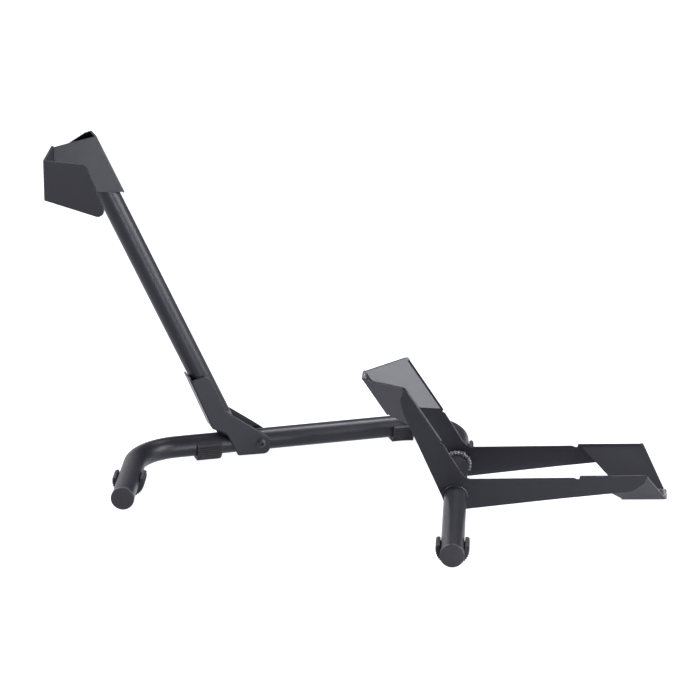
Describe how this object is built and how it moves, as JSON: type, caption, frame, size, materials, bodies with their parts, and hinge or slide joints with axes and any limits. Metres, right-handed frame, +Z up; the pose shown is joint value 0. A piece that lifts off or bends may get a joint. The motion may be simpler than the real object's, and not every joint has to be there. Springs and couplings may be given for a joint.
{
  "type": "folding bicycle wheel floor stand",
  "caption": "Bent steel tube floor stand with a folded sheet cradle, rubber foot pads and a hinged fold-down arm that ends in a slotted yoke to steady a wheel.",
  "frame": {"origin": "on the floor, under the middle of the bounding box of the stand as it stands ready for use", "axes": "+Z up; +X along the plane of the wheel it holds, from the arm towards the lower trough; -Y is the side the two leg ends point to"},
  "size_m": [0.7202, 0.4586, 0.4111],
  "materials": {
    "black_powder_coat": "satin black powder coat",
    "black_rubber": "matte moulded rubber",
    "black_plastic": "satin moulded plastic",
    "black_bolt_steel": "satin black oxide steel",
    "zinc_steel": "plain zinc plated steel"
  },
  "bodies": {
    "base": {"base_tube": "black_powder_coat", "pivot_sleeve": "zinc_steel", "end_plug_left": "black_plastic", "end_plug_right": "black_plastic", "foot_pad_left_leg": "black_rubber", "foot_pad_bar_left": "black_rubber", "foot_pad_bar_right": "black_rubber", "foot_pad_leg_front": "black_rubber", "foot_pad_leg_rear": "black_rubber", "cradle_side_near": "black_powder_coat", "cradle_side_far": "black_powder_coat", "trough_weld_middle": "black_powder_coat", "trough_weld_lower": "black_powder_coat", "leg_weld_near": "black_powder_coat", "leg_weld_far": "black_powder_coat"},
    "arm": {"arm_tube": "black_powder_coat", "arm_bracket": "black_powder_coat", "arm_bracket_weld": "black_powder_coat", "pivot_bolt": "black_bolt_steel", "pivot_washer_front": "black_bolt_steel", "pivot_washer_rear": "black_bolt_steel", "pivot_nut": "black_bolt_steel", "head_bracket": "black_powder_coat", "head_weld": "black_powder_coat", "wheel_yoke": "black_powder_coat", "yoke_weld": "black_powder_coat"}
  },
  "joints": [
    {"name": "arm_fold", "type": "hinge", "parent": "base", "child": "arm", "pos_m": [-0.12783, 0.14921, 0.0175], "axis": [-0.3288, 0.9444, 0], "range_deg": [0, 114]}
  ]
}
